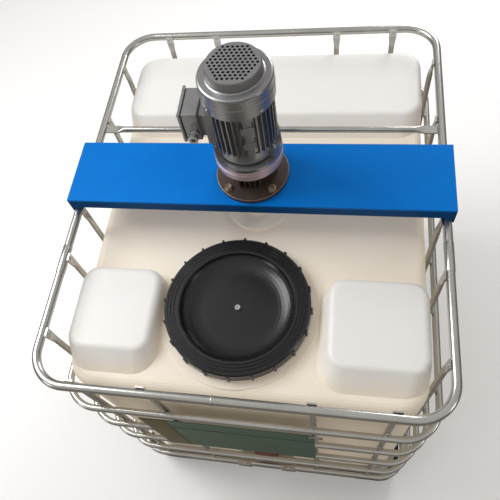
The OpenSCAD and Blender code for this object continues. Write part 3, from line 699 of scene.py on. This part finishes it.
# %% [markdown]
# ## Bright rim of the flange
#
# The flange was turned after it was cast, so its outer edge is bare metal: a thin bright line round a dark
# disc. It is a torus primitive let into the edge.

# %% Rim
bpy.ops.object.select_all(action="DESELECT")
flange_radius = high("reducer_base", 0)
rim_thick = 0.0008
bpy.ops.mesh.primitive_torus_add(major_radius=flange_radius - rim_thick, minor_radius=rim_thick,
                                 major_segments=96, minor_segments=8, location=(0, 0, flange_top - 0.0004))
settle(bpy.context.object, "flange_rim", "tank", tan_bolt, smooth=60)

# %% [markdown]
# ## Floor, light and camera
#
# The photograph shows the tank cut out on white, seen steeply from above with its valve side near. A
# pale floor keeps the shadow, large soft lamps light it evenly, and the camera stands where the picture's
# lines meet the known size of the cage.

# %% Floor and world
bpy.ops.object.select_all(action="DESELECT")
bpy.ops.mesh.primitive_plane_add(size=40, location=(0, 0, 0))
floor = bpy.context.object
floor.name = "floor"
floor_mat = bpy.data.materials.new("pale floor")
floor_mat.use_nodes = True
shader_of(floor_mat).inputs["Roughness"].default_value = 0.9
seen = floor_mat.node_tree.nodes.new("ShaderNodeLightPath")
floor_tone = floor_mat.node_tree.nodes.new("ShaderNodeMix")
floor_tone.data_type = "RGBA"
floor_tone.inputs["A"].default_value = (0.3, 0.275, 0.24, 1)
floor_tone.inputs["B"].default_value = (0.96, 0.96, 0.96, 1)
floor_mat.node_tree.links.new(seen.outputs["Is Camera Ray"], floor_tone.inputs["Factor"])
floor_mat.node_tree.links.new(floor_tone.outputs["Result"], shader_of(floor_mat).inputs["Base Color"])
floor.data.materials.append(floor_mat)

world = bpy.data.worlds.new("studio")
bpy.context.scene.world = world
world.use_nodes = True
backdrop = world.node_tree.nodes["Background"]
backdrop.inputs["Strength"].default_value = 0.6
direction = world.node_tree.nodes.new("ShaderNodeTexCoord")
parts = world.node_tree.nodes.new("ShaderNodeSeparateXYZ")
heights = world.node_tree.nodes.new("ShaderNodeValToRGB")
heights.color_ramp.elements[0].color = (0.2, 0.17, 0.135, 1)
heights.color_ramp.elements[1].position = 0.6
heights.color_ramp.elements[1].color = (1.0, 0.985, 0.96, 1)
world.node_tree.links.new(direction.outputs["Generated"], parts.inputs["Vector"])
world.node_tree.links.new(parts.outputs["Z"], heights.inputs["Fac"])
world.node_tree.links.new(heights.outputs["Color"], backdrop.inputs["Color"])
pale = world.node_tree.nodes.new("ShaderNodeBackground")
pale.inputs["Color"].default_value = (0.92, 0.92, 0.92, 1)
ray = world.node_tree.nodes.new("ShaderNodeLightPath")
either = world.node_tree.nodes.new("ShaderNodeMixShader")
world.node_tree.links.new(ray.outputs["Is Camera Ray"], either.inputs[0])
world.node_tree.links.new(backdrop.outputs[0], either.inputs[1])
world.node_tree.links.new(pale.outputs[0], either.inputs[2])
world.node_tree.links.new(either.outputs[0], world.node_tree.nodes["World Output"].inputs["Surface"])
bpy.context.scene.view_settings.view_transform = "Standard"


# %% Lamps
def soft_lamp(name, place, aim, size, power):
    data = bpy.data.lights.new(name, "AREA")
    data.shape = "DISK"
    data.size = size
    data.energy = power
    lamp = bpy.data.objects.new(name, data)
    lamp.location = place
    lamp.rotation_euler = (Vector(aim) - Vector(place)).to_track_quat("-Z", "Y").to_euler()
    bpy.context.collection.objects.link(lamp)
    return lamp


soft_lamp("left skylight", (-2.4, 0.3, 3.6), (0, 0, 0.9), 2.2, 80)
soft_lamp("rear window", (1.3, 3.4, 2.3), (0, 0, 1.0), 1.5, 45)
soft_lamp("left strip", (-3.0, -2.6, 1.9), (0, 0, 1.4), 0.9, 10)
soft_lamp("right strip", (3.2, -1.4, 1.8), (0, 0, 1.4), 0.7, 7)

# %% Camera at the photograph's angle
camera_data = bpy.data.cameras.new("camera")
camera_data.sensor_width = 36
camera_data.lens = 39.75
camera_data.shift_x = 0.042
camera_data.shift_y = 0.004
camera = bpy.data.objects.new("camera", camera_data)
camera.location = (0.228, -0.856, 2.376)
camera.rotation_euler = [math.radians(a) for a in (28.57, 8.64, 7.51)]
bpy.context.collection.objects.link(camera)
bpy.context.scene.camera = camera
print("camera at", tuple(round(v, 3) for v in camera.location))
